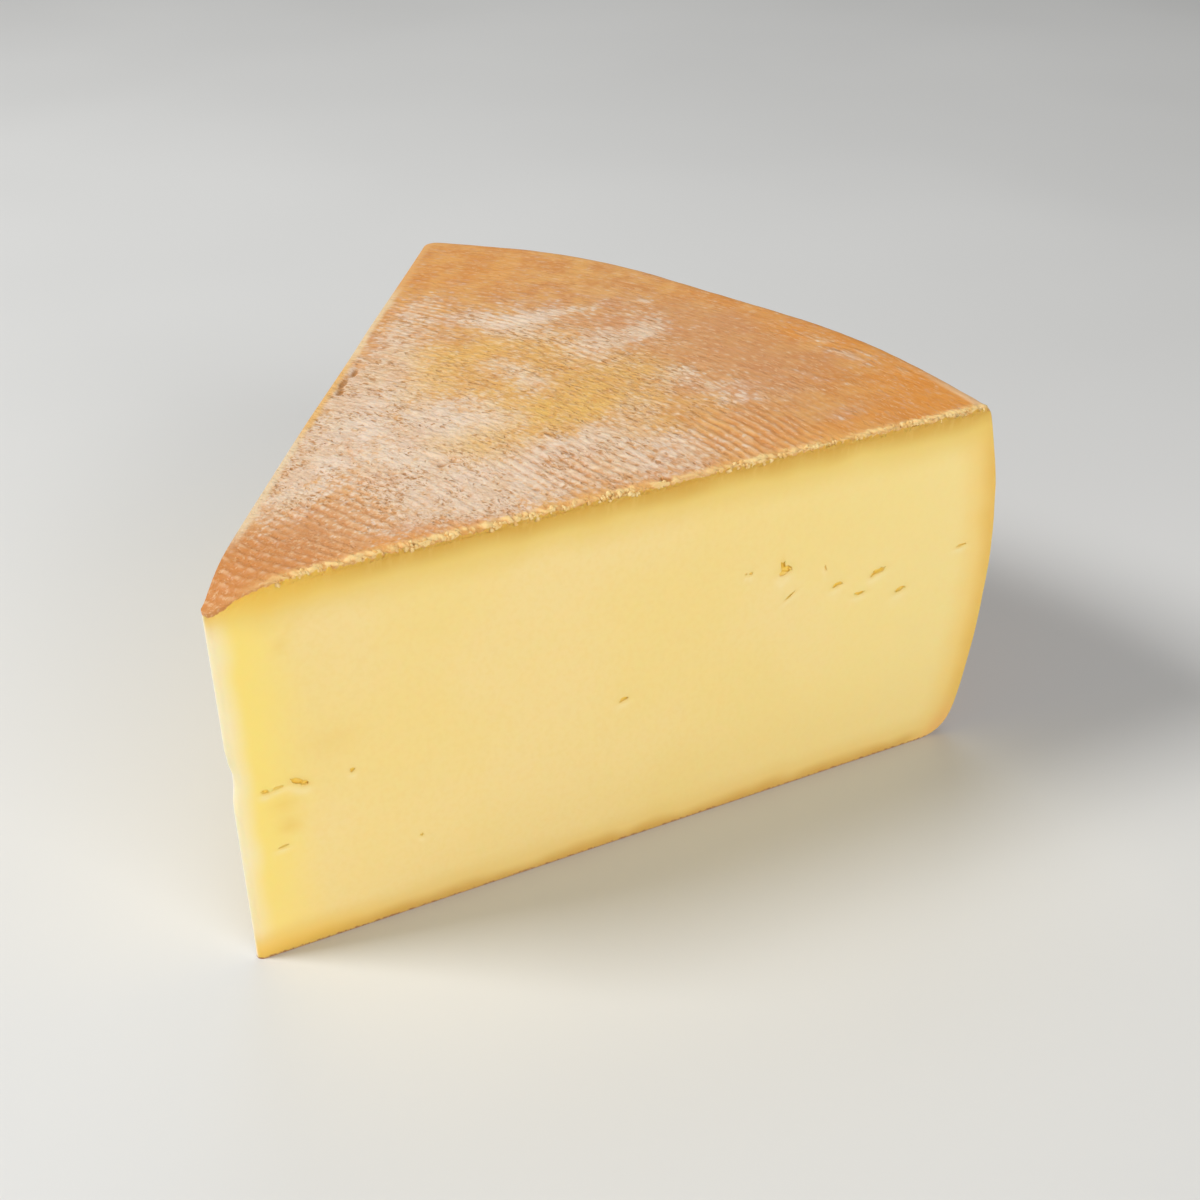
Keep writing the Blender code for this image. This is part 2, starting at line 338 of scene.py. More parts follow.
nearest_eye = kdtree.KDTree(len(ALL_EYES))
for index, (eye, cut_angle) in enumerate(ALL_EYES):
    nearest_eye.insert(polar(eye[0] * MM, cut_angle) + Vector((0, 0, eye[1] * MM)), index)
nearest_eye.balance()


def placed(name, data):
    """A new object in the scene, for a mesh, a light or a camera."""
    made = bpy.data.objects.new(name, data)
    bpy.context.scene.collection.objects.link(made)
    return made


def placed_mesh(name, bm, mesh_name=None):
    """A new object for what was built in bm, which is then freed."""
    mesh = bpy.data.meshes.new(mesh_name or name)
    bm.to_mesh(mesh)
    bm.free()
    return placed(name, mesh)


tall_edges = []
for edge in sheet.edges:
    one, other = (vert.co for vert in edge.verts)
    if abs(one.z - other.z) > LEVEL_SPACING / 2:
        _, index, away = nearest_eye.find((one + other) / 2)
        if away < ALL_EYES[index][0][2] / 2 * MM + EYE_RIM:
            tall_edges.append(edge)
bmesh.ops.subdivide_edges(sheet, edges=tall_edges, cuts=EYE_STRIPS)
bmesh.ops.triangulate(sheet, faces=sheet.faces)
wedge = placed_mesh("cheese_wedge", sheet, "wedge_before_relief")
print("split", len(tall_edges), "edges; the wedge has", len(wedge.data.polygons), "triangles")

# %% [markdown]
# # Cutting the eyes
#
# Each eye is cut with a lumpy, slightly bent pebble that leans upwards as it goes in. That leaves
# an eye dark at its top, while its lower edge catches the light. Neighbours in the table may run
# into each other, so every other pebble goes into a second mesh, with a Boolean of its own.

# %% Cut the eyes
EYE_DEPTH = 0.42  # of an eye's mean size, to each side of the face
OVERHANG = math.radians(30)
PEBBLE_LUMPS = 0.6
PEBBLE_BEND = 0.5


def add_pebble(bm, eye, cut_angle):
    """A lumpy bent pebble that sits half inside a cut face."""
    radius, height, length, width, tilt = eye
    place = (
        Matrix.Rotation(cut_angle, 4, "Z")
        @ Matrix.Translation((radius * MM, 0.0, height * MM))
        @ Matrix.Rotation(-math.radians(tilt), 4, "Y")
        @ Matrix.Rotation(OVERHANG, 4, "X")
    )
    made = bmesh.ops.create_icosphere(bm, subdivisions=3, radius=1.0)
    bend = PEBBLE_BEND * (1 if radius % 2 > 1 else -1)
    for vert in made["verts"]:
        bulge = noise.noise(vert.co * 1.7 + Vector((radius, height, length)))
        vert.co *= 1 + PEBBLE_LUMPS * bulge
        vert.co.z += bend * (vert.co.x**2 - 0.4)
    deep = EYE_DEPTH * math.sqrt(length * width)
    size = Matrix.Diagonal((length / 2 * MM, deep * MM, width / 2 * MM, 1.0))
    bmesh.ops.transform(bm, matrix=place @ size, verts=made["verts"])


cutters = []
for turn in (0, 1):
    pebbles = bmesh.new()
    for eye, cut_angle in ALL_EYES[turn::2]:
        add_pebble(pebbles, eye, cut_angle)
    cutters.append(placed_mesh(f"eye_pebbles_{turn}", pebbles))
    eyes = wedge.modifiers.new(f"eyes_{turn}", "BOOLEAN")
    eyes.operation = "DIFFERENCE"
    eyes.solver = "MANIFOLD"
    eyes.object = cutters[turn]
depsgraph = bpy.context.evaluated_depsgraph_get()
shaped = bpy.data.meshes.new_from_object(wedge.evaluated_get(depsgraph))
wedge.modifiers.clear()
wedge.data = shaped
for cutter in cutters:
    bpy.data.objects.remove(cutter)
shaped.name = "cheese_wedge"
print("with its eyes it has", len(shaped.polygons), "triangles")

# %% [markdown]
# # Where each point lies
#
# Both the relief and the colours depend on how deep a point lies under the rind. So these depths
# are worked out once, on the plain shape, and stored on the mesh for the material to read.

# %% Depths under each side of the wheel
RIM_WANDER = 0.006
RIM_SWELL = 0.047
WANDER_SPAN = (0.0, 0.25)
SWELL_SPAN = (0.42, 0.86)

count = len(shaped.vertices)
flat = np.zeros(count * 3)
shaped.vertices.foreach_get("co", flat)
place = flat.reshape(count, 3)
x, y, z = place.T
radius = np.hypot(x, y)
angle = np.clip(np.arctan2(y, x), 0, WEDGE_ANGLE)


def rim_growth(angle):
    """The share by which the wheel's outline is wider at an angle from the front cut."""
    share = angle / WEDGE_ANGLE
    return 1 + RIM_WANDER * ramp(share, *WANDER_SPAN) + RIM_SWELL * ramp(share, *SWELL_SPAN)


def profile_radius(height):
    """Radius of the whole profile at a height, its rounded shoulder and heel included."""
    rings = [(OUTLINE_RADIUS, WHEEL_HEIGHT), *profile_rings()]
    radii, heights = np.array(rings[::-1]).T
    return np.interp(height, heights, radii)


depth_top = WHEEL_HEIGHT - z
depth_rim = profile_radius(z) - radius
depth_base = z
depth_front = y
depth_back = x * math.sin(WEDGE_ANGLE) - y * math.cos(WEDGE_ANGLE)
print("deepest point under the top is", round(float(depth_top.max()) / MM, 1), "mm down")

# %% [markdown]
# # The relief of the rind
#
# The top sags a little towards the tip, where the rind has lost its support. Over that lies the
# print of the board: sets of ridges about 2 mm apart, each with its own place and direction,
# strong near the front cut and faint elsewhere, and broken up into beads. The rest is wrinkled.
# The wrinkles run round a centre a little behind the tip, so their pattern is made in places
# measured as distance from that centre and way round it: the grain.

# %% Sag, ridges and wrinkles of the top
RIDGES = (
    # centre x and y, reach along x and y (mm), direction across the ridges, spacing (mm),
    # strength, and how far a second set of threads breaks them up
    (9, 6, 15, 11, 34, 1.95, 1.0, 0.8),
    (26, 14, 11, 11, 25, 1.95, 0.8, 0.6),
    (50, 9, 14, 10, 14, 1.9, 0.60, 0.6),
    (65, 11, 12, 11, 13, 2.0, 0.90, 0.6),
    (79, 13, 7, 9, 10, 2.0, 0.60, 0.6),
    (97, 9, 12, 12, 8, 2.0, 1.15, 0.25),
    (66, 84, 9, 11, 31, 1.8, 0.85, 0.6),
    (79, 75, 6, 9, 30, 1.8, 0.75, 0.5),
    (88, 56, 6, 9, 22, 1.9, 0.70, 0.5),
    (38, 24, 9, 12, 20, 1.8, 0.35, 0.6),
)
THREAD_SPACING = 2.3
RIDGE_HEIGHT = 0.18 * MM
GRAIN_CENTRE = (-30 * MM, -15 * MM)
GRAIN_TURN = 100 * MM
TIP_DROOP, TIP_DROOP_REACH = 3.0 * MM, 7 * MM
SAG, SAG_REACH = 1.0 * MM, 30 * MM
WAVE_HEIGHT, WAVE_LENGTH = 0.4 * MM, 30 * MM
GRAIN_FOLDS = (1.7, 4.2)


def sink_of_top(spots):
    """How far the top lies below the wheel's height, before its fine relief."""
    away = np.hypot(spots[:, 0], spots[:, 1])
    droop = TIP_DROOP * hump(away, TIP_DROOP_REACH) + SAG * hump(away, SAG_REACH)
    return droop + WAVE_HEIGHT * (0.5 + 0.5 * hills(spots, WAVE_LENGTH, 5))


def along_grain(spots):
    """Places as the distance from the grain's centre, the way round it, and the height."""
    dx, dy = spots[:, 0] - GRAIN_CENTRE[0], spots[:, 1] - GRAIN_CENTRE[1]
    return np.stack([np.hypot(dx, dy), np.arctan2(dy, dx) * GRAIN_TURN, spots[:, 2]], axis=1)


def folds(grain, across, along, seed):
    """Soft swellings from 0 to 1, with sharp valleys between them that run with the grain."""
    sizes = np.array([across, along, across]) * MM
    return np.minimum(np.abs(rough_hills(grain / sizes, 1.0, 2, seed)) * 2.2, 1.0)


def ridge_field(spots, grain):
    """The ridges from -1 in a groove to 1 on a crest, faded to their own places."""
    bend = 1.1 * MM * hills(spots, 14 * MM, 21) + 0.3 * MM * hills(spots, 3.0 * MM, 22)
    total = np.zeros(len(spots))
    for cx, cy, reach_x, reach_y, across, spacing, strength, woven in RIDGES:
        dx, dy = spots[:, 0] - cx * MM, spots[:, 1] - cy * MM
        fade = np.exp(-((dx / (reach_x * MM)) ** 2) - (dy / (reach_y * MM)) ** 2)
        way = math.radians(across)
        cos, sin = math.cos(way), math.sin(way)
        phase = (dx * cos + dy * sin + bend) / (spacing * MM)
        thread = (dy * cos - dx * sin + 2 * bend) / (THREAD_SPACING * MM) + 0.5 * np.floor(phase)
        bead = 1 - woven * (0.5 + 0.5 * np.sin(2 * math.pi * thread))
        total += strength * fade * bead * np.sin(2 * math.pi * phase)
    beads = ramp(hills(grain / (1.8, 2.6, 1.8), MM, 23), -0.6, 0.3)
    return np.clip(np.where(total > 0, total * (0.35 + 0.65 * beads), total), -1.2, 1.2)


grown = place * np.column_stack([rim_growth(angle), rim_growth(angle), np.ones(count)])
on_top = grown * (1, 1, 0)
grain = along_grain(grown)
ridges = ridge_field(on_top, grain)
wrinkles = folds(grain, *GRAIN_FOLDS, seed=31)
print("ridges from", round(float(ridges.min()), 2), "to", round(float(ridges.max()), 2))

# %% [markdown]
# # Creases, pits and patches
#
# A few marks are worth placing one by one, because the eye finds them: the creases along the back
# cut, some pits, and the patches of bloom, ochre, chalk white, amber and rose. A mark is a soft
# ellipse with its own place, size and turn.

# %% Marks on the top
CREASES = (
    # x and y, half length, half width (mm), direction, depth (mm)
    (42.8, 60.2, 2.4, 0.55, 54, 0.85), (46.2, 63.8, 1.8, 0.50, 56, 0.80),
    (41.0, 56.6, 1.5, 0.50, 50, 0.70), (57.0, 79.8, 1.6, 0.5, 48, 0.40),
    (46.4, 26.0, 2.6, 0.45, -66, 0.25), (47.0, 22.4, 1.1, 0.8, 10, 0.50),
    (49.2, 22.8, 0.9, 0.7, 0, 0.45), (78.0, 1.1, 0.9, 0.6, 0, 1.00),
    (104.7, 36.6, 0.9, 0.6, 0, 0.50), (35.0, 33.0, 1.6, 0.6, -60, 0.20),
    (108.6, 41.2, 0.6, 0.4, 30, 0.25),
)


def mark(spots, cx, cy, half_length, half_width, direction):
    """1 in the middle of an ellipse, fading to about a third at its outline and on to 0."""
    way = math.radians(direction)
    dx, dy = spots[:, 0] - cx * MM, spots[:, 1] - cy * MM
    u = (dx * math.cos(way) + dy * math.sin(way)) / (half_length * MM)
    v = (dy * math.cos(way) - dx * math.sin(way)) / (half_width * MM)
    return np.exp(-(u**2) - v**2)


creases = sum(mark(on_top, *row[:5]) * row[5] * MM for row in CREASES)
print("deepest crease", round(float(creases.max()) / MM, 2), "mm")

# %% Patches of bloom, ochre, chalk white, amber and rose
BLOOM = (
    # in each of these tables: x and y, half length, half width (mm), direction, strength
    (47, 38, 20, 13, 60, 1.0), (42, 21, 14, 11, 30, 0.70),
    (24, 29, 11, 6, 56, 0.75), (36, 47, 14, 6, 56, 0.8),
    (58, 16, 16, 10, 0, 0.8), (60, 6, 27, 5, 0, 0.75),
    (43, 9, 7, 6, 0, 0.4), (74, 17, 11, 7, 0, 0.9),
    (84, 8, 11, 7, 0, 0.4), (58, 35, 9, 8, 0, 0.9),
    (50, 60, 16, 7, 56, 0.8), (59, 73, 15, 7, 56, 0.6),
    (65, 84, 9, 4, 56, 0.45), (73.5, 48, 9.0, 3.6, 84, 0.95),
    (76, 78, 6, 4, -40, 0.8), (87, 73.0, 9, 2.6, 4, 0.9),
    (98, 73.5, 7, 2.2, 4, 0.4), (80, 70, 9, 4.5, -50, 0.65),
    (84, 63, 8, 3.5, -60, 0.6), (91, 53, 8, 5, 20, 0.75),
    (99, 57, 8, 3.2, 18, 0.95), (107, 60, 6, 2.0, 40, 0.5),
    (99, 37, 5, 3.5, 0, 0.95), (104, 29, 5, 4, 0, 0.55),
    (103, 22, 4, 3, 0, 0.5), (112, 72, 3, 1.4, -75, 0.8),
    (132.5, 39, 3.2, 1.6, -50, 0.7), (133.5, 28.5, 4.5, 1.5, -66, 0.75),
    (136.5, 30, 3.0, 0.9, -66, 0.5), (131.5, 32, 2.5, 0.8, -62, 0.45),
    (138.3, 19.5, 1.6, 0.8, -70, 0.5), (120, 9, 3, 1.6, 20, 0.35),
    (111, 20, 3, 2.5, 0, 0.3), (103.5, 57, 5.5, 2.2, 12, 0.5),
    (33, 37, 9, 6, 56, 0.7), (20, 22, 8, 3.5, 56, 0.6),
    (52, 13, 9, 6, 0, 0.5), (92, 29, 9, 9, 0, 0.3),
    (85, 27, 5, 5, 0, 0.35), (93, 45, 5, 4, 0, 0.3),
    (122, 24, 8, 1.0, -62, 0.35), (116, 22, 7, 2.0, -50, 0.3),
    (78, 58, 30, 34, 0, 0.14), (104, 68, 6, 9, 0, 0.22),
    (106, 53, 5, 7, 0, 0.24), (108, 24, 5, 9, 0, 0.20),
    (70, 90, 7, 8, 0, 0.15), (88, 80, 9, 5, -30, 0.24),
    (93, 62, 4, 9, 0, 0.35), (86, 73, 5, 4, 0, 0.7),
    (82, 12, 9, 7, 0, 0.2),
)
OCHRE = (
    (60, 55, 9, 6, 40, 0.8), (70, 63, 10, 4.5, 0, 0.75),
    (81, 52, 7, 12, 0, 0.65), (74, 32, 9, 5, 0, 1.6),
    (83, 35, 11, 7, 10, 0.7), (92, 42, 10, 7, 20, 0.5),
    (66, 44, 4.5, 8, 0, 0.7), (61, 26, 8, 4, 0, 0.4),
    (88, 21, 10, 5, 0, 0.3), (56, 27, 8, 6, 0, 0.45),
    (62, 66, 8, 4, 0, 0.35),
)
CHALK = (
    (40, 40, 5, 4.5, 60, 1.0), (29, 29, 4.5, 3, 50, 0.8),
    (28.5, 24, 4, 2, 40, 0.8), (38, 30, 6, 4.5, 40, 0.7),
    (46, 25, 4.5, 4, 0, 1.0), (57, 36, 6, 4.5, 10, 1.1),
    (64, 35, 4, 7, 0, 1.2), (51, 15, 7, 5, 0, 0.9),
    (65, 19, 4, 4, 0, 0.8), (72, 21.5, 5, 3.5, 0, 1.1),
    (79, 9, 4.5, 3, 0, 0.5), (85, 12, 4, 3, 0, 0.4),
    (57, 43, 5, 1.5, 10, 0.6), (46, 51, 5, 3, 56, 0.6),
    (58, 72, 8, 3, 56, 0.4), (73, 47, 7, 3, 84, 0.7),
    (91, 51, 4.5, 4, 0, 0.9), (101, 54, 3, 3, 0, 0.7),
    (100.5, 37, 3.5, 3.5, 0, 1.1), (106, 23, 1.6, 3.5, 0, 0.8),
    (86, 72.0, 5, 3.0, 0, 0.9), (80, 78.0, 6, 1.8, -55, 0.7),
    (79, 73, 5, 3, -50, 0.7),
)
AMBER = (
    (138, 8, 9, 10, 0, 1.1), (132, 12, 12, 12, 0, 0.5),
    (141, 27, 5, 14, 10, 0.6), (131, 43, 6, 9, 20, 0.45),
    (6, 4, 8, 5, 30, 1.2), (129.7, 43, 3, 3, 0, 0.9),
    (134.7, 34, 3, 2.5, 0, 0.8), (137, 15, 4.5, 5, 0, 0.7),
    (118, 4, 16, 3, 0, 0.6), (127, 62, 4, 16, 24, 0.5),
    (30, 3, 14, 2, 0, 0.5), (98, 8, 10, 6, 0, 0.25),
    (85, 105, 22, 16, 0, 0.35),
)
ROSE = (
    (108, 55, 14, 20, 20, 1.0), (112, 32, 12, 16, 0, 1.1),
    (20, 9, 13, 8, 20, 1.2), (30, 13, 10, 7, 20, 1.4),
    (121, 55, 5, 7, 0, 0.9), (120, 9, 4, 2.5, 0, 0.8),
    (128, 30, 4, 5, 0, 0.5), (82, 10, 7, 5, 0, 0.9),
    (45, 55, 6, 4, 50, 0.5), (100, 68, 10, 6, 0, 0.6),
)
FOLDED = (
    # where slits and pits show most
    (38, 19, 9, 4, 10, 0.9), (30, 42, 12, 3, 56, 0.7),
    (46, 55, 8, 4, 56, 0.8), (98, 45, 8, 6, 0, 0.7),
    (84, 61, 6, 8, 0, 0.5), (66, 27, 7, 4, 0, 0.5),
    (90, 36, 9, 9, 0, 0.7),
)


def patches(spots, rows):
    """Several marks together, with edges that wander."""
    shift = np.stack(
        [rough_hills(spots, 10 * MM, 4, seed=s) * 2.2 * MM for s in (41, 51)] + [0 * spots[:, 0]],
        axis=1,
    )
    total = sum(mark(spots + shift, *row[:5]) * row[5] for row in rows)
    uneven = 1 + 0.35 * rough_hills(spots, 8 * MM, 3, seed=43)
    return 1 - np.exp(-1.25 * total * uneven)


tables = {"bloom": BLOOM, "ochre": OCHRE, "chalk": CHALK, "amber": AMBER, "rose": ROSE}
masks = {name: patches(on_top, rows) for name, rows in tables.items()}
for name, values in masks.items():
    print(name, "covers", round(float(values[depth_top < 0.1 * MM].mean()), 2), "of the top")

# %% [markdown]
# # The torn lip and the cut faces
#
# The wire drags the rind where it comes through at the front, so the top edge of that cut is
# torn: it stands out in lumps of under a millimetre, except at the tip and in one gap. The cut
# faces themselves are smooth, but never quite flat, and the tip has a dent level with the seam of
# eyes. Where the bloom is thick the top is rough, and towards the rim it is smoother.

# %% Move the points
LIP_WIDTH = 2.1 * MM
LIP_STAND = 0.5 * MM
LIP_LUMPS = 0.75 * MM
LIP_GAP, LIP_GAP_HALF = 82 * MM, 4 * MM
LIP_START = (4 * MM, 20 * MM)
KNOB_SIZE = 1.6 * MM
WRINKLE_HEIGHT = 0.23 * MM
RIM_LUMPS = 0.18 * MM
FACE_HOLLOW = 0.3 * MM
DENT_HEIGHT, DENT_DEPTH = 38.2 * MM, 1.0 * MM
DENT_HALF, DENT_REACH = 3.0 * MM, 5.0 * MM
RIND_DEPTH = 16 * MM
EYE_CRISP = math.radians(35)

inwards_front = np.array([0.0, 1.0, 0.0])
inwards_back = np.array([math.sin(WEDGE_ANGLE), -math.cos(WEDGE_ANGLE), 0.0])
middle = np.array([math.cos(WEDGE_ANGLE / 2), math.sin(WEDGE_ANGLE / 2), 0.0])
outwards = np.stack([np.cos(angle), np.sin(angle), np.zeros(count)], axis=1)

near_top = ramp(-depth_top, -1.2 * MM, 0.0)
near_rim = ramp(-depth_rim, -1.2 * MM, 0.0) * ramp(depth_base, 0.0, 2 * MM)
near_front = ramp(-depth_front, -3 * MM, -0.5 * MM)
near_back = ramp(-depth_back, -3 * MM, -0.5 * MM)
inner = ramp(np.minimum.reduce([depth_top, depth_rim, depth_base, radius]), 0.0, 6 * MM)

rough = np.clip(0.22 + 0.8 * masks["bloom"] + 0.5 * masks["ochre"], 0.2, 1)
wrinkle_height = WRINKLE_HEIGHT * rough * (0.6 + 0.4 * hills(on_top, 8 * MM, seed=33))
top_relief = RIDGE_HEIGHT * ridges + wrinkle_height * (wrinkles - 0.6) - creases
top_relief *= ramp(depth_rim, 0.0, 3 * MM) * 0.85 + 0.15
top_relief *= ramp(depth_back, 0.3 * MM, 2.2 * MM) * 0.75 + 0.25

arc_spots = np.stack([angle * WIDEST_RADIUS, z, 0 * z], axis=1)
rim_relief = RIM_LUMPS * rough_hills(arc_spots, 9 * MM, 3, seed=61)

lip = ramp(-np.hypot(depth_front, depth_top), -LIP_WIDTH, -0.3 * LIP_WIDTH)
knobs = np.minimum(np.abs(rough_hills(place, KNOB_SIZE, 3, seed=71)) * 2.2, 1.0)
coarse = hills(place, 6 * MM, seed=72)
crumbly = ramp(x, *LIP_START) * (1 - 0.6 * hump(x - LIP_GAP, LIP_GAP_HALF))
lip_share = lip * np.clip(0.1 + 0.5 * coarse + 0.8 * knobs, 0, 1)

moved = place.copy()
wave = 0.5 + 0.5 * hills(place, 22 * MM, seed=81)
smear = 0.03 * MM * hills(place * (0.2, 0.2, 1.0), 2.2 * MM, seed=82)
hollow = (FACE_HOLLOW * wave + smear) * inner
moved += inwards_front * (near_front * (hollow + LIP_STAND * (1 - lip_share)))[:, None]
moved += inwards_back * (near_back * hollow)[:, None]
moved += outwards * (near_rim * rim_relief)[:, None]
moved[:, :2] *= rim_growth(angle)[:, None]
sink = ramp(z, WHEEL_HEIGHT - RIND_DEPTH, WHEEL_HEIGHT) * sink_of_top(place * (1, 1, 0))
moved[:, 2] += near_top * top_relief - sink + LIP_LUMPS * lip * crumbly * (knobs - 0.75)
dent = hump(z - DENT_HEIGHT, DENT_HALF) * hump(radius, DENT_REACH)
moved += middle * (DENT_DEPTH * dent)[:, None]
moved += np.array(AXIS)
moved = np.clip(moved, np.array(low), np.array(high))
shaped.vertices.foreach_set("co", moved.ravel())
shaped.shade_smooth()
shaped.update()
crisp = bmesh.new()
crisp.from_mesh(shaped)
inside = np.minimum.reduce([depth_top, depth_rim, depth_base, radius - 3 * MM]) > 2 * MM
at_face = inside & (np.minimum(depth_front, depth_back) < 0.5 * MM)
crisp_edges = 0
for edge in crisp.edges:
    one, other = (vert.index for vert in edge.verts)
    if at_face[one] and at_face[other] and edge.calc_face_angle(0.0) > EYE_CRISP:
        edge.smooth = False
        crisp_edges += 1
crisp.to_mesh(shaped)
crisp.free()
print(crisp_edges, "edges of the eyes are kept crisp")
print("size", [round(float(v) / MM, 1) for v in moved.max(axis=0) - moved.min(axis=0)], "mm")

# %% Store what the material reads
STAINS = (
    # distance from the tip, height, half length, half width (mm), direction, strength
    (12.4, 62.6, 1.5, 0.8, 25, 1.0),
    (9.5, 26.5, 2.0, 1.2, 0, 0.5),
    (9.0, 31.0, 2.5, 1.8, 0, 0.4),
    (18.0, 41.0, 5.0, 2.5, 0, 0.2),
)

on_front = np.stack([x, z, 0 * x], axis=1)
front_face = (depth_front < 0.6 * MM) & (depth_top > 2 * MM)
eye_highlight_marks = 0
stain_marks = sum(mark(on_front, *row[:5]) * row[5] for row in STAINS)
# Below each eye a pale mark, stored as smear, is a painted highlight on the eye's lower rim; round
# each eye lies a golden stain of its own colour.
for far, up, length, width, tilt in FRONT_EYES:
    below = (far - 0.1 * length, up - 0.9 * width - 0.5)
    eye_highlight_marks += mark(on_front, *below, 0.7 * length, 0.5 * width + 0.4, tilt)
    around = (0.62 * length, 0.62 * width + 0.1)
    stain_marks += 0.6 * mark(on_front, far, up - 0.2, *around, tilt)
rim_or_base = ramp(-np.minimum(depth_rim, depth_base), -0.8 * MM, -0.2 * MM)
uneven_top = ramp(-depth_top, -1.5 * MM, -0.5 * MM) * (0.15 + 0.85 * rough)
folded = hills(on_top, 6 * MM, seed=95) - 0.5 * masks["chalk"] + 0.7 * patches(on_top, FOLDED)
folded = ramp(folded, -0.35, 0.4)
to_store = {
    "under_top": depth_top,
    "under_rim": depth_rim,
    "over_base": depth_base,
    "from_tip": radius,
    "from_front": depth_front,
    "from_back": depth_back,
    "ridge": ridges,
    "wrinkle": wrinkles,
    "crease": creases / (0.5 * MM),
    "rough": rough,
    "knob": knobs,
    "uneven": np.maximum(uneven_top, 0.3 * rim_or_base),
    "folded": 0.15 + 0.85 * folded,
    "crumbly": np.clip(crumbly * (0.75 + 0.7 * coarse), 0, 1),
    # smear: the painted highlight below each eye
    "smear": np.where(front_face, np.clip(eye_highlight_marks, 0, 1), 0),
    "stain": np.where(front_face, np.clip(stain_marks, 0, 1), 0),
    **masks,
}
for name, values in to_store.items():
    attribute = shaped.attributes.new(name, "FLOAT", "POINT")
    attribute.data.foreach_set("value", np.asarray(values, np.float32))
attribute = shaped.attributes.new("grain", "FLOAT_VECTOR", "POINT")
attribute.data.foreach_set("vector", np.asarray(grain, np.float32).ravel())
print("stored", ", ".join(to_store), "and grain")

# %% [markdown]
# # A small kit for materials
#
# A finish is built from nodes. Each method of this kit adds one or a few, and hands back the
# output, so that a finish reads like a recipe. Colours are given as they look on screen, and
# turned into the light values that the renderer needs.


def paint(red, green, blue):
    """A colour as it looks, each part from 0 to 255, as the renderer's light values."""
    shares = [part / 255 for part in (red, green, blue)]
    light = [s / 12.92 if s <= 0.04045 else ((s + 0.055) / 1.055) ** 2.4 for s in shares]
    return (*light, 1.0)


class Recipe:
    """A material that is put together node by node."""

    def __init__(self, name):
        self.material = bpy.data.materials.new(name)
        self.material.use_nodes = True
        self.tree = self.material.node_tree
        self.shader = self.tree.nodes["Principled BSDF"]
        self.places = self.add("ShaderNodeTexCoord").outputs["Object"]

    def add(self, kind, inputs=(), **settings):
        """One node, with its settings, and its inputs by name or number."""
        node = self.tree.nodes.new(kind)
        for name, value in settings.items():
            setattr(node, name, value)
        for key, value in dict(inputs).items():
            self.feed(node.inputs[key], value)
        return node

    def feed(self, socket, value):
        """Links an output to a socket, or sets the socket to a plain value."""
        if isinstance(value, bpy.types.NodeSocket):
            self.tree.links.new(value, socket)
        else:
            socket.default_value = value

    def finish(self, values):
        """Feeds the material's own shader, by the names of its inputs."""
        for name, value in values.items():
            self.feed(self.shader.inputs[name], value)

    def calc(self, how, first, second=0.0, third=0.0):
        """A calculation with up to three numbers."""
        inputs = {0: first, 1: second, 2: third}
        return self.add("ShaderNodeMath", inputs, operation=how).outputs[0]

    def step(self, value, start, end, low_out=0.0, high_out=1.0):
        """A smooth step from low_out at start to high_out at end."""
        inputs = {"Value": value, "From Min": start, "From Max": end}
        inputs |= {"To Min": low_out, "To Max": high_out}
        node = self.add("ShaderNodeMapRange", inputs, interpolation_type="SMOOTHSTEP")
        return node.outputs[0]

    def stored(self, name, output="Fac"):
        """A number, or with output Vector a place, that the mesh carries for each point."""
        return self.add("ShaderNodeAttribute", attribute_name=name).outputs[output]

    def sized(self, where, *sizes):
        """Places measured in so many mm along each of their three axes."""
        inputs = {0: where, 1: tuple(size * MM for size in sizes)}
        return self.add("ShaderNodeVectorMath", inputs, operation="DIVIDE").outputs[0]

    def in_grains(self, across, along):
        """Places measured in grains: so many mm across the grain's way and along it."""
        return self.sized(self.stored("grain", "Vector"), across, along, across)

    def noise(self, size=None, where=None, detail=2.0, rough=0.5, warp=0.0, output="Fac"):
        """Random values from 0 to 1 at a size, or of size 1 in places already scaled."""
        inputs = {"Vector": where or self.places, "Scale": 1 / size if size else 1.0}
        inputs |= {"Detail": detail, "Roughness": rough, "Distortion": warp}
        return self.add("ShaderNodeTexNoise", inputs).outputs[output]

    def cells(self, where, shake):
        """Scattered spots about one unit apart: the distance to the nearest, and its own number."""
        shift = self.noise(where=where, detail=0.0, output="Color")
        inputs = {0: shift, 1: (shake, shake, shake), 2: where}
        shaken = self.add("ShaderNodeVectorMath", inputs, operation="MULTIPLY_ADD").outputs[0]
        spots = self.add("ShaderNodeTexVoronoi", {"Vector": shaken, "Scale": 1.0})
        return spots.outputs["Distance"], spots.outputs["Color"]

    def slits(self, across, along, start, end):
        """Short slits along the grain: 1 in a slit and 0 beside it."""
        swell = self.noise(where=self.in_grains(across, along), detail=1.0, rough=0.55, warp=1.1)
        return self.step(swell, start, end)

    def blend(self, share, first, second):
        """One colour laid over another by a share."""
        node = self.add("ShaderNodeMix", data_type="RGBA", clamp_factor=True)
        self.feed(node.inputs["Factor"], share)
        self.feed(node.inputs[6], first)
        self.feed(node.inputs[7], second)
        return node.outputs[2]


print("the kit can", ", ".join(name for name in vars(Recipe) if name[0] != "_"))

# %% Short names for the cheese's own material
cheese = Recipe("raclette")
blend, calc, step, stored = cheese.blend, cheese.calc, cheese.step, cheese.stored


def both(first, second):
    """The product of two shares."""
    return calc("MULTIPLY", first, second)


def plus(base, value, factor=1.0):
    """A number, with another one added that many times."""
    return calc("MULTIPLY_ADD", value, factor, base)


def fade(distance, start, end, low_out=0.0, high_out=1.0):
    return step(distance, start * MM, end * MM, low_out, high_out)


def layers(colour, *coats):
    """Lays coats over a colour one by one: each a share, and a tint or the output of a node."""
    for share, tint in coats:
        colour = blend(share, colour, paint(*tint) if isinstance(tint, tuple) else tint)
    return colour
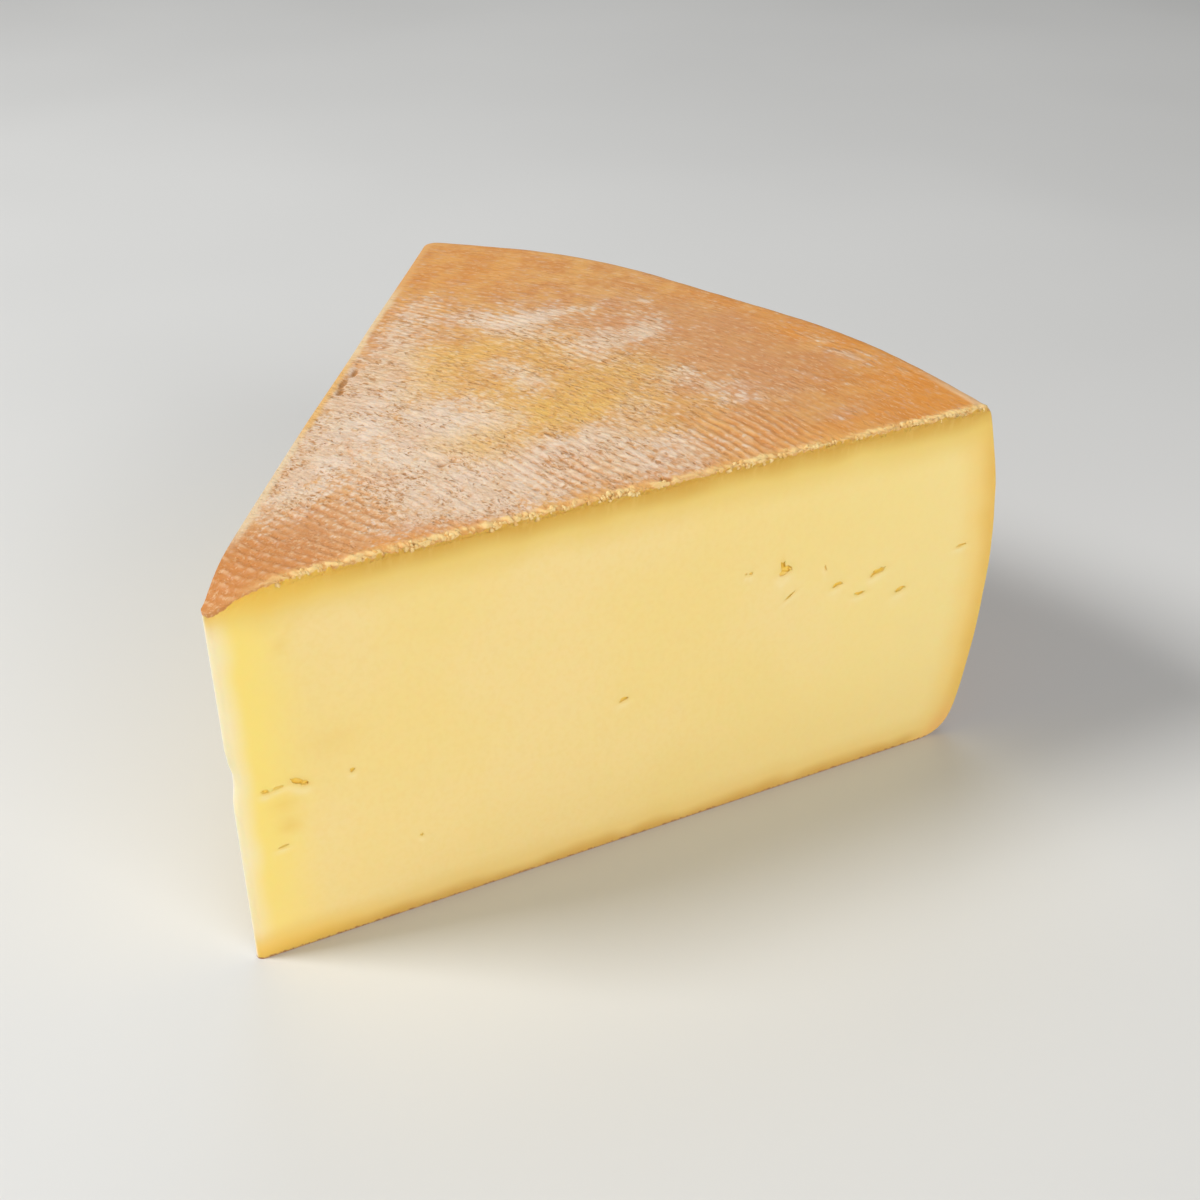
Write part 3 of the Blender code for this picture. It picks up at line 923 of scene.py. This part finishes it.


# %% [markdown]
# # The paste's colours
#
# Inside, the paste is an even pale yellow. Towards the rind it darkens, as it ripens from the
# outside: olive-yellow under the top, orange-yellow inside the rim, and tan just above the base.
# The tip's whiter edge is a painted highlight, and the more yellow band behind it a painted glow
# of light shining through the thin tip. A painted highlight also whitens the back cut's edge at the
# tip, and a pale painted highlight lies below each eye. The eyes are a deeper yellow.

# %% Paste colours
under_top = stored("under_top")
under_rim = stored("under_rim")
over_base = stored("over_base")
from_tip = stored("from_tip")
from_front = stored("from_front")
from_back = stored("from_back")

cloudy = cheese.noise(30 * MM, detail=1.0)
mealy = cheese.noise(1.1 * MM, detail=1.5, rough=0.6)
wavering = plus(-1.2 * MM, cheese.noise(9 * MM, detail=1.0), 2.4 * MM)


def shaded_edge(colour, depth, bands):
    """Lays bands of tint over the paste, each with the depth where it starts to fade and ends."""
    reach = plus(depth, wavering)
    for tint, full, gone, strength in bands:
        colour = layers(colour, (fade(reach, full, gone, strength, 0.0), tint))
    return colour


# Painted light at the tip: the first band, saturated yellow, is a painted glow of light shining
# through the thin tip; the second, whitish, is a painted highlight on the tip's rounded edge.
TIP_HIGHLIGHT_AND_GLOW_BANDS = (
    # red, green and blue, the depths where it starts to fade and ends (mm), and strength
    ((247, 221, 122), 4.5, 16.5, 0.95),
    ((243, 230, 186), 1.0, 5.5, 1.0),
)
BASE_BANDS = (
    ((240, 212, 136), 5.0, 26.0, 0.3),
    ((236, 204, 124), 1.5, 7.5, 0.9),
    ((214, 168, 80), 0.0, 3.2, 0.95),
)
RIM_BANDS = (
    ((239, 204, 118), 2.0, 10.0, 0.9),
    ((226, 183, 86), 0.0, 4.8, 0.85),
)
TOP_BANDS = (
    ((230, 198, 104), 2.2, 11.5, 0.92),
    ((211, 164, 68), 0.8, 5.4, 1.0),
)
paste = blend(step(cloudy, 0.35, 0.65), paint(242, 216, 148), paint(241, 215, 139))
paste = layers(
    paste,
    (step(mealy, 0.35, 0.75, 0.0, 0.3), (238, 208, 130)),
    (fade(from_tip, 80, 135, 0.0, 0.7), (242, 219, 144)),
)
# painted glow and painted highlight at the tip
paste = shaded_edge(paste, from_tip, TIP_HIGHLIGHT_AND_GLOW_BANDS)
paste = shaded_edge(paste, over_base, BASE_BANDS)
paste = shaded_edge(paste, under_rim, RIM_BANDS)
below_top = plus(under_top, fade(from_tip, 11, 2, 0.0, 3.5 * MM))
paste = shaded_edge(paste, below_top, TOP_BANDS)

# %% Marks of the paste
near_tip = fade(from_tip, 4, 34, 0.7, 0.0)
golden_top = both(near_tip, fade(below_top, 2.5, 8.0, 1.0, 0.0))
golden_foot = both(near_tip, fade(over_base, 1.5, 7.0, 0.9, 0.0))
heel = both(fade(under_rim, 7, 1), fade(over_base, 11, 2, 0.0, 0.75))
# A whitish painted highlight on the back cut's edge near the tip, where the key light strikes it.
tip_highlight = both(fade(from_tip, 9, 3), fade(from_back, 0.9, 0.1))
dragged = cheese.noise(where=cheese.sized(cheese.places, 1.1, 1.1, 5.0))
under_lip = both(fade(under_top, 0.4, 1.2), fade(under_top, 5, 2))
drag = both(both(step(dragged, 0.5, 0.66), under_lip), stored("crumbly"))
behind_cut = calc("MINIMUM", from_front, from_back)
in_wheel = both(fade(from_tip, 3, 5), fade(under_rim, 1.5, 3))
in_eye = both(fade(behind_cut, 0.0, 0.3), in_wheel)
paste = layers(
    paste,
    (golden_top, (240, 198, 84)),
    (golden_foot, (240, 196, 84)),
    (heel, (236, 182, 108)),
    # painted highlight on the tip's edge
    (tip_highlight, (249, 240, 216)),
    (both(drag, 0.22), (236, 202, 118)),
    # the smear is a painted highlight below each eye
    (both(stored("smear"), 0.55), (247, 227, 172)),
    (both(stored("stain"), 0.85), (229, 186, 78)),
    (both(in_eye, 0.9), (237, 199, 80)),
)

# %% [markdown]
# # The rind's colours
#
# The rind is mostly an orange tan. Bloom lies over it, first as a thin haze and then as a whitish
# crust with a lacy edge, whitest in the chalky patches. Short slits and pits run with the grain
# through both, and show the darker skin. Ochre, amber and rose patches tint it. On the ridges the
# crests are lightened with a painted highlight, and the grooves darkened, partly the rind's own
# colour and partly painted shade. The valleys of the wrinkles are darkened the same way, partly
# colour and partly painted shade, and the tops of the small lumps get a painted highlight.

# %% Patterns of the rind
bloom_share = stored("bloom")
ochre_share = stored("ochre")
ridge = stored("ridge")
folded = stored("folded")
lumpy = cheese.noise(where=cheese.in_grains(0.85, 1.5), detail=1.5)
swells = cheese.noise(where=cheese.in_grains(2.4, 4.2), detail=1.5)
streaky = cheese.noise(where=cheese.in_grains(0.9, 9.0), rough=0.6)
smudge = cheese.noise(6 * MM, rough=0.6)
cloud = cheese.noise(11 * MM, rough=0.6)
blotches = cheese.noise(2.2 * MM, rough=0.6)
tatter = cheese.noise(2.4 * MM, detail=3.0, rough=0.7)
wide_slits = cheese.slits(0.68, 1.8, 0.43, 0.35)
fine_slits = cheese.slits(0.34, 0.85, 0.40, 0.31)
pale_slits = cheese.slits(0.45, 1.40, 0.60, 0.69)

# %% Pits in the bloom, and the dots it grows in
pit_away, pit_number = cheese.cells(cheese.in_grains(1.1, 1.7), shake=1.4)
crowded = plus(step(folded, 0.0, 1.0, 0.25, 0.75), ridge, -0.5)
there = step(calc("SUBTRACT", crowded, pit_number), -0.1, 0.1)
pits = both(step(pit_away, 0.42, 0.12), there)
dot_away, dot_number = cheese.cells(cheese.in_grains(1.15, 1.3), shake=0.6)
cover = plus(bloom_share, ridge, 0.18)
cover = plus(cover, step(dot_away, 0.55, 0.1, 0.0, 0.4))
cover = plus(cover, dot_number, 0.35)
cover = plus(cover, tatter, -0.7)
haze = step(cover, -0.15, 0.65, 0.0, 0.75)
crust = step(cover, 0.25, 0.75, 0.0, 0.85)

# %% Rind colours
haze_colour = blend(step(cloud, 0.38, 0.62), paint(221, 179, 132), paint(211, 168, 137))
crust_colour = blend(step(cloud, 0.42, 0.6), paint(222, 201, 177), paint(220, 189, 151))
crust_colour = layers(
    crust_colour,
    (step(smudge, 0.3, 0.7, 0.0, 0.6), (223, 197, 176)),
    (both(stored("chalk"), step(tatter, 0.7, 0.4, 0.25, 0.95)), (232, 217, 201)),
)
tone = both(step(stored("rough"), 0.2, 0.8, 0.12, 1.0), step(ochre_share, 0.1, 0.9, 1.0, 0.4))
any_slit = both(calc("MAXIMUM", wide_slits, both(fine_slits, 0.6)), tone)
# Darker in the wrinkles' valleys: partly the rind's colour, partly painted shade.
low_spots = both(step(stored("wrinkle"), 0.4, 0.0, 0.0, 0.45), folded)
rind = blend(step(smudge, 0.35, 0.65), paint(219, 162, 89), paint(205, 138, 69))
rind = layers(
    rind,
    (step(streaky, 0.45, 0.72, 0.0, 0.25), (229, 182, 122)),
    (step(blotches, 0.55, 0.7, 0.0, 0.4), (231, 182, 120)),
    (step(blotches, 0.45, 0.3, 0.0, 0.4), (196, 132, 70)),
    (both(stored("rose"), 0.85), (202, 141, 93)),
    (both(stored("amber"), 0.95), (222, 142, 48)),
    (fade(from_tip, 34, 8, 0.0, 0.7), (191, 123, 65)),
    (haze, haze_colour),
    (crust, crust_colour),
    (both(ochre_share, step(tatter, 0.4, 0.75, 0.95, 0.3)), (229, 183, 94)),
    # Pale crests: painted highlight. Dark grooves: partly the rind's colour, partly painted shade.
    (step(ridge, 0.0, 0.9, 0.0, 0.5), (233, 194, 150)),
    (step(ridge, 0.0, -0.8, 0.0, 0.55), (200, 134, 76)),
    (both(any_slit, both(folded, 0.85)), (178, 122, 68)),
    (both(both(pits, tone), 0.7), (180, 120, 60)),
    # wrinkle valleys: partly colour, partly painted shade
    (both(low_spots, tone), (196, 146, 96)),
    # paler on the tops of the lumps that the bump raises: a painted highlight
    (both(step(lumpy, 0.5, 0.7, 0.0, 0.4), tone), (240, 221, 192)),
    (both(pale_slits, step(smudge, 0.4, 0.6, 0.08, 0.4)), (238, 204, 158)),
)

# %% [markdown]
# # Rind meets paste
#
# Seen from the side, the rind is a line under a millimetre thick along the top, the rim and the
# base. Its edge wanders, and along the front it is torn into pale crumbs, with a tan band behind
# them; between the crumbs' lumps it is darker, partly colour and partly painted shade. Along the
# back cut a narrow band is golden in places and pale in others, partly the rind's colour and partly
# a painted highlight on the edge. A painted highlight also runs down the rim's front edge and along
# the top's shoulder near the front corner. The rim has a thin haze, and the creases are darkened
# with painted shade. The material decides by depth, with a ragged limit, whether a point is rind or
# paste.

# %% Bands and edges of the rind
tear = cheese.noise(1.1 * MM, rough=0.65)
drift = cheese.noise(6.0 * MM, detail=1.0)
band_wander = plus(-1.5 * MM, drift, 3.0 * MM)
on_top = fade(under_top, 3.5, 2.5)
off_top = calc("SUBTRACT", 1.0, on_top)
side_haze = both(step(cloud, 0.45, 0.7, 0.0, 0.6), off_top)
front_band = both(fade(plus(from_front, band_wander), 2.4, 0.8, 0.0, 0.75), on_top)
front_band = both(front_band, fade(from_tip, 5, 18, 0.1, 1.0))
band_colour = blend(step(drift, 0.4, 0.6), paint(223, 166, 94), paint(235, 194, 132))
# A pale painted highlight along the front edge of the rim and the base.
rim_highlight = both(fade(from_front, 1.6, 0.4, 0.0, 0.8), off_top)
# A pale painted highlight on the top's shoulder near the front corner.
corner = both(fade(under_rim, 1.0, 0.0, 0.0, 0.6), fade(from_front, 26, 3))
foot_colour = blend(step(tear, 0.45, 0.6), paint(196, 142, 78), paint(158, 100, 52))
# A narrow band along the back edge: partly the rind's colour, golden or pale, and partly a painted
# highlight on the edge.
back_band_and_highlight = both(fade(plus(from_back, band_wander, 0.4), 1.7, 0.6, 0.0, 0.8), on_top)
back_band_and_highlight = both(back_band_and_highlight, fade(from_tip, 12, 20))
back_colour = blend(fade(from_tip, 44, 54), paint(226, 202, 164), paint(227, 178, 104))
back_colour = layers(
    back_colour,
    (fade(from_tip, 74, 84), (230, 204, 160)),
    (fade(from_tip, 108, 118), (224, 168, 102)),
)


def within(limit, depth, blur):
    """1 where a depth is under a limit and 0 beyond it, over a blur in mm to each side."""
    return fade(calc("SUBTRACT", limit, depth), -blur, blur)


torn = both(within(plus(-0.2 * MM, tear, 2.6 * MM), from_front, 0.3), on_top)
torn = both(torn, stored("crumbly"))
knob = plus(stored("knob"), tear, 0.8)
# Crumbs are pale on their lumps and darker between them: partly the torn rind's colour, partly
# painted shade in the gaps.
crumb_colour = blend(step(knob, 0.5, 1.1), paint(206, 150, 76), paint(236, 204, 138))
rind = layers(
    rind,
    (both(side_haze, step(tatter, 0.7, 0.4)), (226, 190, 148)),
    (front_band, band_colour),
    # painted highlight on the rim's front edge
    (rim_highlight, (238, 202, 152)),
    # painted highlight on the shoulder near the front corner
    (both(corner, on_top), (238, 204, 160)),
    (fade(over_base, 2.0, 0.5, 0.0, 0.85), foot_colour),
    # back band: rind colour and painted highlight
    (back_band_and_highlight, back_colour),
    (both(torn, 0.85), crumb_colour),
    # creases darkened: painted shade in the dents
    (step(stored("crease"), 0.25, 1.0, 0.0, 0.8), (170, 112, 46)),
)

# %% The line between rind and paste
edge = plus(fade(from_tip, 9, 2, -0.95 * MM, -0.8 * MM), tear, 1.1 * MM)
edge = calc("MAXIMUM", plus(edge, drift, 1.6 * MM), 0.16 * MM)
thin = calc("MAXIMUM", plus(-0.1 * MM, tear, 0.8 * MM), 0.2 * MM)
is_rind = calc("MAXIMUM", within(thin, under_rim, 0.15), within(thin, over_base, 0.15))
is_rind = calc("MAXIMUM", within(edge, under_top, 0.1), is_rind)


# %% Shine and fine relief
def between(share, first, second):
    """A number part of the way from the first to the second."""
    return plus(first, share, calc("SUBTRACT", second, first))


SHINE_OF_PASTE = (0.42, 0.52)
SHINE_OF_RIND = (0.58, 0.85)
LUMP_HEIGHT, PIT_HEIGHT, SWELL_HEIGHT = 0.36 * MM, -0.15 * MM, 0.5 * MM

paste_shine = step(mealy, 0.3, 0.7, *SHINE_OF_PASTE)
rind_shine = step(bloom_share, 0.0, 1.0, *SHINE_OF_RIND)
height = plus(both(lumpy, LUMP_HEIGHT), pits, PIT_HEIGHT)
height = both(plus(height, swells, SWELL_HEIGHT), stored("uneven"))
bump = cheese.add("ShaderNodeBump", {"Height": height, "Strength": 1.0, "Distance": 1.0})
cheese.finish({
    "Base Color": blend(is_rind, paste, rind),
    "Roughness": between(is_rind, paste_shine, rind_shine),
    "Specular IOR Level": 0.3,
    "Subsurface Weight": between(is_rind, step(in_eye, 0.0, 0.3, 0.5, 0.1), 0.15),
    "Subsurface Scale": 1.0,
    "Subsurface Radius": (1.5 * MM, 0.9 * MM, 0.5 * MM),
    "Normal": bump.outputs["Normal"],
})

shaped.materials.clear()
shaped.materials.append(cheese.material)
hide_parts("raclette_wedge")
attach(wedge, "root")
print("the material has", len(cheese.tree.nodes), "nodes")

# %% [markdown]
# # The crumbs of the torn lip
#
# Little flakes of rind and paste cling to the torn edge. Each is a squashed, turned and uneven
# ball that sits half inside a point of the lip. They come in clusters, so a slow random field
# decides which of the drawn places keep their crumb.

# %% Scatter the crumbs
CRUMB_DRAWS = 320
CRUMB_HALF = (0.25 * MM, 0.5 * MM)
CRUMB_SIDES, CRUMB_BELTS = 8, 6


def add_crumb(bm, centre, half, draw):
    """One uneven, squashed crumb."""
    made = bmesh.ops.create_uvsphere(
        bm, u_segments=CRUMB_SIDES, v_segments=CRUMB_BELTS, radius=1.0
    )
    shift = Vector([draw.uniform(0, 50) for _ in range(3)])
    for vert in made["verts"]:
        vert.co *= 1 + 0.7 * noise.noise(vert.co * 1.3 + shift)
    turn = Euler([draw.uniform(0, math.tau) for _ in range(3)]).to_matrix().to_4x4()
    squash = Matrix.Diagonal((half * draw.uniform(1.0, 1.4), half, half * 0.75, 1.0))
    bmesh.ops.transform(bm, matrix=Matrix.Translation(centre) @ turn @ squash, verts=made["verts"])


on_lip = (depth_front < 0.9 * MM) & (depth_top < 0.7 * MM) & (radius > 3 * MM) & (depth_rim > MM)
seats = np.flatnonzero(on_lip & (np.minimum(depth_front, depth_top) < 0.3 * MM))
clusters = hills(place[seats], 5 * MM, seed=91) + 0.8 * (crumbly[seats] - 1)
draw = random.Random(17)
crumb_sheet = bmesh.new()
crumbs = 0
for _ in range(CRUMB_DRAWS):
    pick = draw.randrange(len(seats))
    if clusters[pick] < draw.uniform(-0.35, 0.6):
        continue
    half = draw.uniform(*CRUMB_HALF)
    seat = Vector(moved[seats[pick]])
    seat.y = max(seat.y, low.y + 0.7 * half)
    add_crumb(crumb_sheet, seat, half, draw)
    crumbs += 1
for vert in crumb_sheet.verts:
    vert.co.y = max(vert.co.y, low.y)
for face in crumb_sheet.faces:
    face.smooth = True
lip_crumbs = placed_mesh("lip_crumbs", crumb_sheet)

torn_cheese = Recipe("torn_cheese")
mixed = torn_cheese.noise(1.2 * MM, detail=3.0)
mixed = torn_cheese.step(mixed, 0.40, 0.62)
tint = torn_cheese.blend(mixed, paint(230, 184, 110), paint(240, 211, 148))
torn_cheese.finish({"Base Color": tint, "Roughness": 0.5, "Specular IOR Level": 0.3})
lip_crumbs.data.materials.append(torn_cheese.material)
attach(lip_crumbs, "root")
print(crumbs, "crumbs with", len(lip_crumbs.data.polygons), "faces")

# %% [markdown]
# # The floor, the light and the camera
#
# A plain pale floor, three large soft lights and a pale surround show the cheese as on a studio
# table. The camera stands at the photo's angle.

# %% Floor
floor_sheet = bmesh.new()
bmesh.ops.create_grid(floor_sheet, x_segments=1, y_segments=1, size=4.0)
floor = placed_mesh("floor", floor_sheet)
floor.location.z = low.z
board = Recipe("pale_floor")
mottle = board.step(board.noise(0.25), 0.3, 0.7)
pale = board.blend(mottle, paint(214, 214, 212), paint(219, 219, 217))
board.finish({"Base Color": pale, "Roughness": 0.7})
floor.data.materials.append(board.material)
floor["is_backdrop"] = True


# %% Lights
def softbox(name, place, aim, size, power):
    """A large soft light at a place, turned towards what it lights."""
    light = bpy.data.lights.new(name, "AREA")
    light.shape = "RECTANGLE"
    light.size, light.size_y = size
    light.energy = power
    lamp = placed(name, light)
    lamp.location = place
    lamp.rotation_euler = (aim - place).to_track_quat("-Z", "Y").to_euler()


CENTRE = (low + high) / 2
softbox("key", CENTRE + Vector((-0.80, 0.25, 0.85)), CENTRE, (0.35, 0.35), 11.6)
softbox("front", CENTRE + Vector((0.12, -1.2, 0.45)), CENTRE, (0.9, 0.9), 10.7)
softbox("back", CENTRE + Vector((0.45, 0.9, 0.95)), CENTRE, (0.8, 0.5), 2.8)
world = bpy.data.worlds.new("surround")
world.use_nodes = True
surround = world.node_tree.nodes["Background"].inputs
surround["Color"].default_value = (1.0, 1.0, 1.0, 1.0)
surround["Strength"].default_value = 0.17
bpy.context.scene.world = world
bpy.context.scene.view_settings.view_transform = "Standard"

# %% Camera
CAMERA_FROM_TIP = Vector((-30.95, -189.69, 190.89)) * MM
YAW, PITCH, ROLL = (math.radians(turn) for turn in (26.90, 32.63, 0.34))
SENSOR = 36.0
FOCAL_SHARE = 1521.6 / 1200  # focal length as a share of the picture's width
lens = bpy.data.cameras.new("camera")
lens.sensor_width = SENSOR
lens.lens = SENSOR * FOCAL_SHARE
lens.clip_start = 0.01
camera = placed("camera", lens)
look = Euler((math.pi / 2 - PITCH, 0.0, -YAW)).to_matrix() @ Matrix.Rotation(ROLL, 3, "Z")
camera.matrix_world = Matrix.Translation(AXIS + CAMERA_FROM_TIP) @ look.to_4x4()
bpy.context.scene.camera = camera

# %% [markdown]
# Sizes at the end
#
# The two boxes, of the CAD model and of the dressed one, are put side by side, and the last line
# gives them as lists.

# %% Gather the sizes and finish
boxes = {"cad": cad_box, "scene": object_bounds()}
{key: [list(corner) for corner in box] for key, box in boxes.items()}
